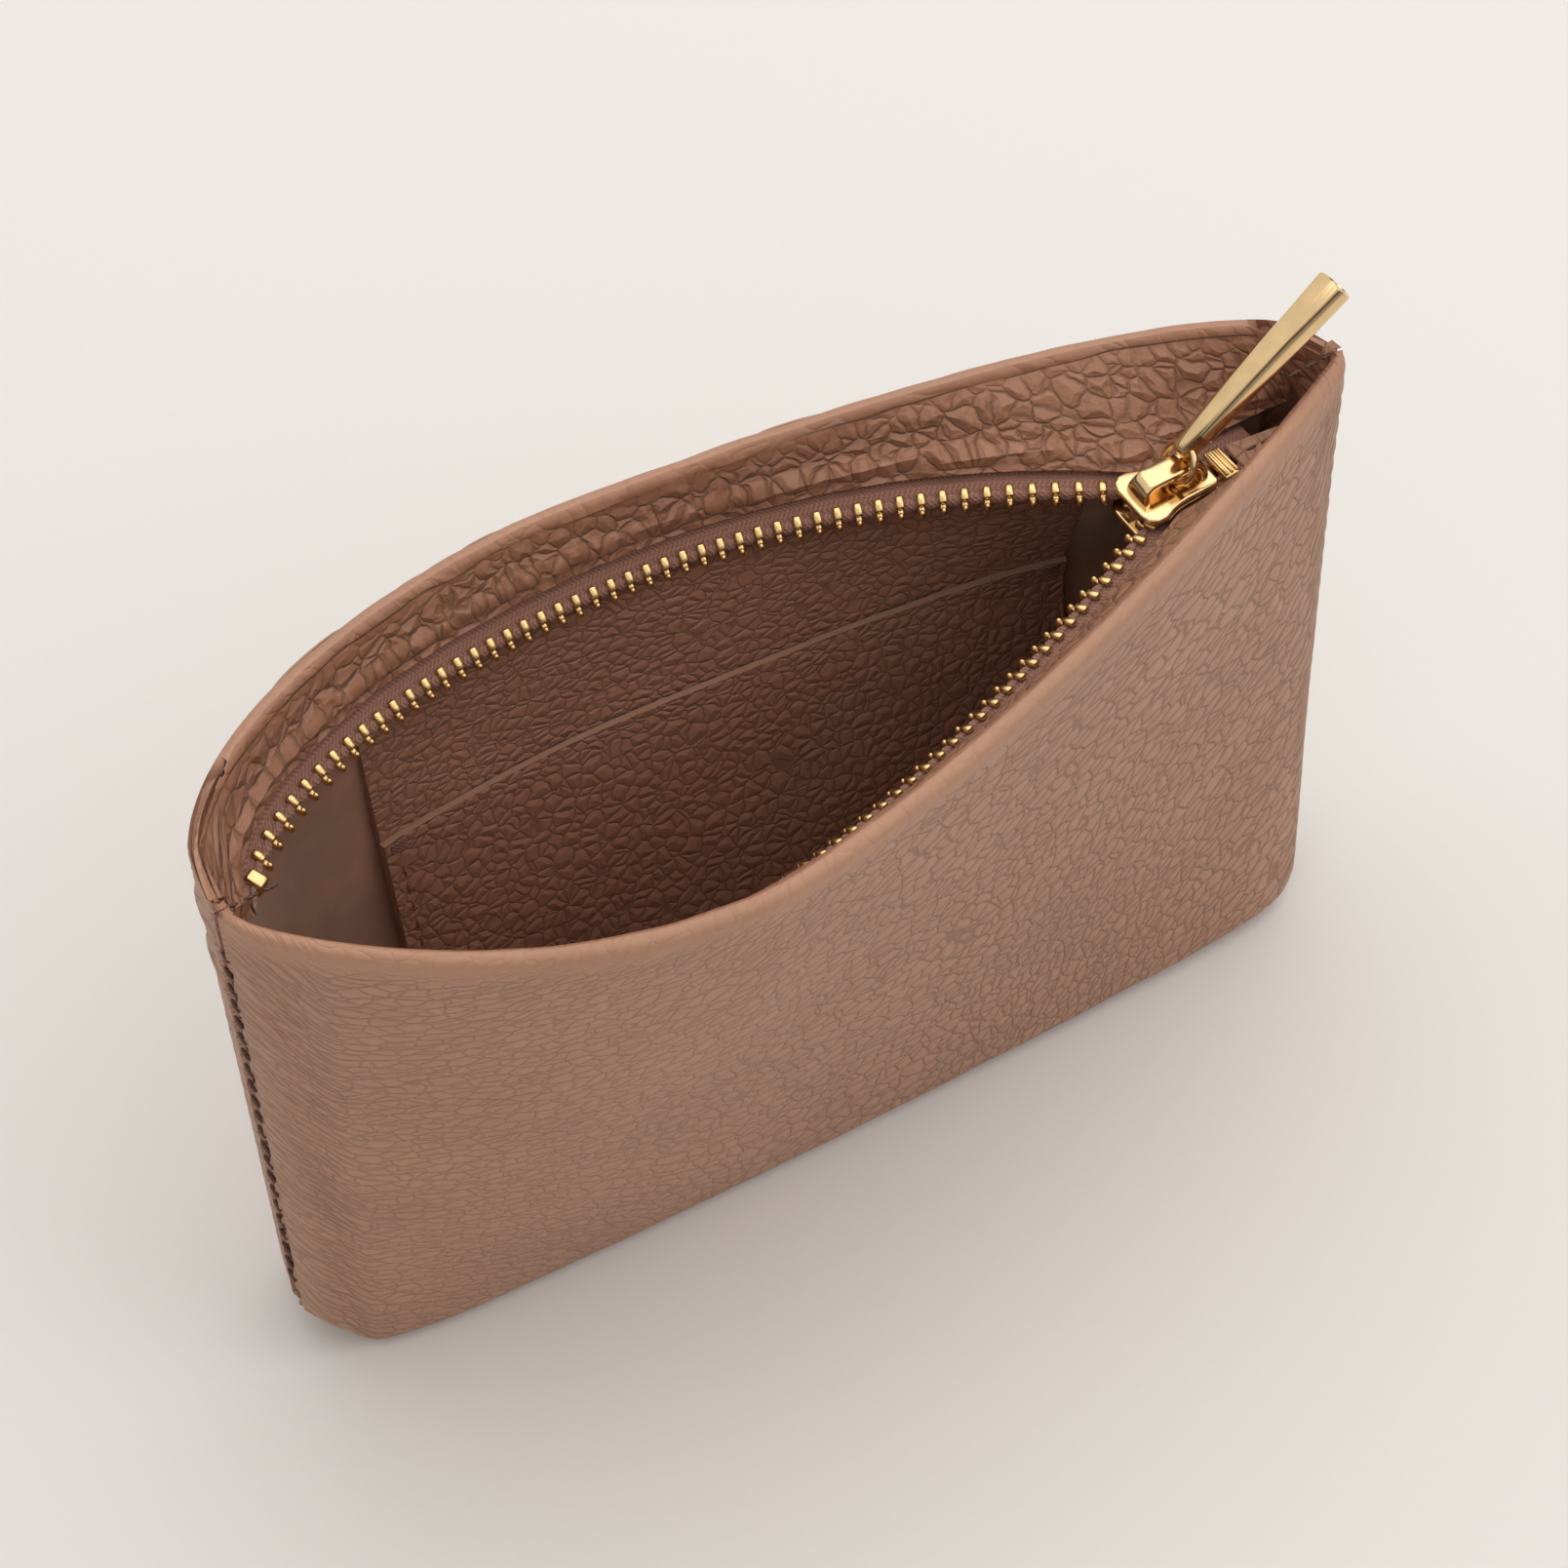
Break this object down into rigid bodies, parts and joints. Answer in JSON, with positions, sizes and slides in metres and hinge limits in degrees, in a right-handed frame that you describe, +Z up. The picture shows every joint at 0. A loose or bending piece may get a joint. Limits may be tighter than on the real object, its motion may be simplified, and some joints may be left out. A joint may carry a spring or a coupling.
{
  "type": "zippered pouch",
  "caption": "Small open zip pouch of pebbled leather on a boxed base, with a recessed metal zipper, a bar pull and a card pocket inside.",
  "frame": {"origin": "on the floor under the middle of the zipper's closed line, which is the middle of the base", "axes": "+X along the zipper towards its open end, +Y towards the back wall with the card pocket, +Z up"},
  "size_m": [0.162, 0.067, 0.1103],
  "materials": {
    "pebbled_leather": "pebbled grain, soft sheen",
    "pocket_leather": "pebbled grain, soft sheen",
    "suede": "napped, matte",
    "thread": "twisted, slight sheen",
    "zip_tape": "woven herringbone, matte",
    "gold_metal": "polished gold plate"
  },
  "bodies": {
    "shell": {"front_panel": "pebbled_leather", "back_panel": "pebbled_leather", "front_lining": "suede", "back_lining": "suede", "pocket_back_ply": "pocket_leather", "pocket_front_ply": "pocket_leather", "front_facing_stitches": "thread", "back_facing_stitches": "thread", "left_seam_stitches": "thread", "right_seam_stitches": "thread", "pocket_side_stitches": "thread", "pocket_bar_tacks": "thread", "right_end_tab": "pebbled_leather", "bottom_stop": "gold_metal"},
    "front_edge": {"front_tape": "zip_tape", "front_teeth": "gold_metal", "front_top_stop": "gold_metal"},
    "back_edge": {"back_tape": "zip_tape", "back_teeth": "gold_metal", "back_top_stop": "gold_metal"},
    "slider": {"slider_body": "gold_metal", "slider_bridge": "gold_metal"},
    "ring": {"pull_ring": "gold_metal"},
    "pull": {"pull_bar": "gold_metal"}
  },
  "joints": [
    {"name": "slider_slide", "type": "slide", "parent": "shell", "child": "slider", "axis": [-1, 0, 0], "range_m": [0, 0.118]},
    {"name": "front_close", "type": "hinge", "parent": "shell", "child": "front_edge", "pos_m": [0, -0.0095, 0.004], "axis": [-1, 0, 0], "range_deg": [0, 16.6], "deforming": ["front_tape", "front_teeth", "front_top_stop"]},
    {"name": "back_close", "type": "hinge", "parent": "shell", "child": "back_edge", "pos_m": [0, 0.0095, 0.004], "axis": [1, 0, 0], "range_deg": [0, 18.2], "deforming": ["back_tape", "back_teeth", "back_top_stop"]},
    {"name": "ring_swing", "type": "hinge", "parent": "slider", "child": "ring", "pos_m": [0.055, 0, 0.0873], "axis": [0, -1, 0], "range_deg": [-6, 38]},
    {"name": "pull_swing", "type": "hinge", "parent": "ring", "child": "pull", "pos_m": [0.05736, 0, 0.09193], "axis": [0, -1, 0], "range_deg": [-10, 75]}
  ],
  "couplings": [
    {"joint": "front_close", "follows": "slider_slide", "rad_per_m": 2.4553},
    {"joint": "back_close", "follows": "slider_slide", "rad_per_m": 2.6919}
  ]
}
